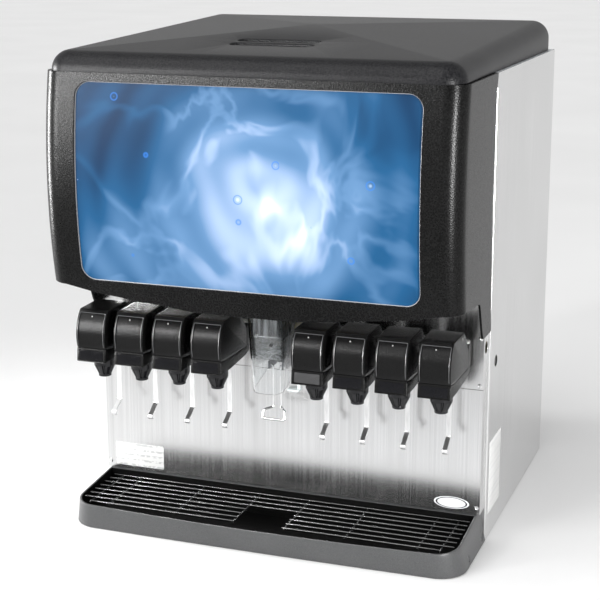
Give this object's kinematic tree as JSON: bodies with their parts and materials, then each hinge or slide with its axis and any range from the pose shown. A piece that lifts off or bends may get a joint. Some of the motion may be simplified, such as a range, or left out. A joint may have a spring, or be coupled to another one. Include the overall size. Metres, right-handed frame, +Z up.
{
  "type": "ice and beverage dispenser",
  "caption": "Counter-top fountain drink and ice dispenser with a lit sign, push-lever valves in two banks, a central ice chute, an insulated ice bin and a drip tray.",
  "frame": {"origin": "centre of the outline, on the surface the machine stands on", "axes": "+X to the viewer's right when facing the valves, +Y to the rear, +Z up"},
  "size_m": [0.762, 0.781, 0.9285],
  "materials": {
    "stainless_sheet": "satin, brushed along X",
    "black_grain": "moulded pebble grain",
    "sign_face": "back-lit translucent sheet",
    "lamp_housing": "white enamel",
    "lamp_glass": "frosted",
    "white_plastic": "smooth",
    "grey_enamel": "satin enamel",
    "liner_plastic": "smooth",
    "foam": "rigid closed-cell foam",
    "cold_plate_metal": "as cast",
    "tube_steel": "drawn",
    "drain_plastic": "smooth",
    "rod_steel": "smooth",
    "black_enamel": "satin",
    "chute_plastic": "smooth",
    "clear_plastic": "clear",
    "bright_wire": "polished",
    "valve_black": "fine grain",
    "tab_plastic": "smooth",
    "tray_grey": "satin",
    "rest_wire": "smooth",
    "screw_steel": "smooth",
    "label_film": "printed film, blank"
  },
  "bodies": {
    "cabinet": {"agitator_gearmotor": "grey_enamel", "base_pan": "stainless_sheet", "beverage_tubing": "tube_steel", "bezel": "black_grain", "bin_insulation": "foam", "bin_liner": "liner_plastic", "chute_cover": "clear_plastic", "cold_plate": "cold_plate_metal", "control_box": "grey_enamel", "drain_lines": "drain_plastic", "drip_tray": "tray_grey", "gate_solenoid": "black_enamel", "hole_plug": "black_grain", "ice_chute": "chute_plastic", "ice_lever_bracket": "grey_enamel", "inlet_fittings": "tube_steel", "label_plates": "label_film", "lamp_tubes": "lamp_glass", "lampholders": "white_plastic", "lever_pins": "rod_steel", "light_box": "lamp_housing", "mounting_blocks": "white_plastic", "panel_screws": "screw_steel", "power_inlet": "valve_black", "sign_panel": "sign_face", "splash_panel": "stainless_sheet", "valve_body_1": "valve_black", "valve_body_2": "valve_black", "valve_body_3": "valve_black", "valve_body_4": "valve_black", "valve_body_5": "valve_black", "valve_body_6": "valve_black", "valve_body_7": "valve_black", "valve_body_8": "valve_black", "valve_coils": "black_enamel", "valve_cover_1": "valve_black", "valve_cover_2": "valve_black", "valve_cover_3": "valve_black", "valve_cover_4": "valve_black", "valve_cover_5": "valve_black", "valve_cover_6": "valve_black", "valve_cover_7": "valve_black", "valve_cover_8": "valve_black", "valve_nozzles": "valve_black", "valve_panel": "stainless_sheet", "wrapper": "stainless_sheet"},
    "agitator": {"agitator": "rod_steel"},
    "cup_lever_1": {"cup_lever_1": "rod_steel"},
    "cup_lever_2": {"cup_lever_2": "rod_steel"},
    "cup_lever_3": {"cup_lever_3": "rod_steel"},
    "cup_lever_4": {"cup_lever_4": "rod_steel"},
    "cup_lever_5": {"cup_lever_5": "rod_steel"},
    "cup_lever_6": {"cup_lever_6": "rod_steel"},
    "cup_lever_7": {"cup_lever_7": "rod_steel"},
    "cup_lever_8": {"cup_lever_8": "rod_steel"},
    "cup_rest": {"cup_rest": "rest_wire"},
    "ice_gate": {"ice_gate": "stainless_sheet"},
    "ice_lever": {"ice_lever": "bright_wire"},
    "lid": {"lid": "black_grain"},
    "water_tab": {"water_tab": "tab_plastic"}
  },
  "joints": [
    {"name": "cup_lever_1_hinge", "type": "hinge", "parent": "cabinet", "child": "cup_lever_1", "pos_m": [-0.32475, -0.2155, 0.336], "axis": [1, 0, 0], "range_deg": [0, 12], "stiffness_Nm_per_rad": 0.6, "springref_deg": -8.59},
    {"name": "cup_lever_2_hinge", "type": "hinge", "parent": "cabinet", "child": "cup_lever_2", "pos_m": [-0.24845, -0.2155, 0.336], "axis": [1, 0, 0], "range_deg": [0, 12], "stiffness_Nm_per_rad": 0.6, "springref_deg": -8.59},
    {"name": "cup_lever_3_hinge", "type": "hinge", "parent": "cabinet", "child": "cup_lever_3", "pos_m": [-0.17215, -0.2155, 0.336], "axis": [1, 0, 0], "range_deg": [0, 12], "stiffness_Nm_per_rad": 0.6, "springref_deg": -8.59},
    {"name": "cup_lever_4_hinge", "type": "hinge", "parent": "cabinet", "child": "cup_lever_4", "pos_m": [-0.09585, -0.2155, 0.336], "axis": [1, 0, 0], "range_deg": [0, 12], "stiffness_Nm_per_rad": 0.6, "springref_deg": -8.59},
    {"name": "cup_lever_5_hinge", "type": "hinge", "parent": "cabinet", "child": "cup_lever_5", "pos_m": [0.09585, -0.2155, 0.336], "axis": [1, 0, 0], "range_deg": [0, 12], "stiffness_Nm_per_rad": 0.6, "springref_deg": -8.59},
    {"name": "cup_lever_6_hinge", "type": "hinge", "parent": "cabinet", "child": "cup_lever_6", "pos_m": [0.17215, -0.2155, 0.336], "axis": [1, 0, 0], "range_deg": [0, 12], "stiffness_Nm_per_rad": 0.6, "springref_deg": -8.59},
    {"name": "cup_lever_7_hinge", "type": "hinge", "parent": "cabinet", "child": "cup_lever_7", "pos_m": [0.24845, -0.2155, 0.336], "axis": [1, 0, 0], "range_deg": [0, 12], "stiffness_Nm_per_rad": 0.6, "springref_deg": -8.59},
    {"name": "cup_lever_8_hinge", "type": "hinge", "parent": "cabinet", "child": "cup_lever_8", "pos_m": [0.32475, -0.2155, 0.336], "axis": [1, 0, 0], "range_deg": [0, 12], "stiffness_Nm_per_rad": 0.6, "springref_deg": -8.59},
    {"name": "ice_lever_hinge", "type": "hinge", "parent": "cabinet", "child": "ice_lever", "pos_m": [0, -0.2165, 0.322], "axis": [1, 0, 0], "range_deg": [0, 12], "stiffness_Nm_per_rad": 0.6, "springref_deg": -8.59},
    {"name": "ice_gate_slide", "type": "slide", "parent": "cabinet", "child": "ice_gate", "axis": [0, 0, 1], "range_m": [0, 0.0401]},
    {"name": "agitator_spin", "type": "hinge", "parent": "cabinet", "child": "agitator", "pos_m": [0, 0, 0.62], "axis": [0, 1, 0], "continuous": true},
    {"name": "water_tab_slide", "type": "slide", "parent": "cabinet", "child": "water_tab", "axis": [0, 1, 0], "range_m": [0, 0.004], "stiffness_N_per_m": 500, "springref_m": -0.002},
    {"name": "lid_lift", "type": "slide", "parent": "cabinet", "child": "lid", "axis": [0, 0, 1], "range_m": [0, 0.15]},
    {"name": "cup_rest_lift", "type": "slide", "parent": "cabinet", "child": "cup_rest", "axis": [0, 0, 1], "range_m": [0, 0.08]}
  ],
  "couplings": [
    {"joint": "ice_gate_slide", "follows": "ice_lever_hinge", "m_per_rad": 0.19099}
  ]
}
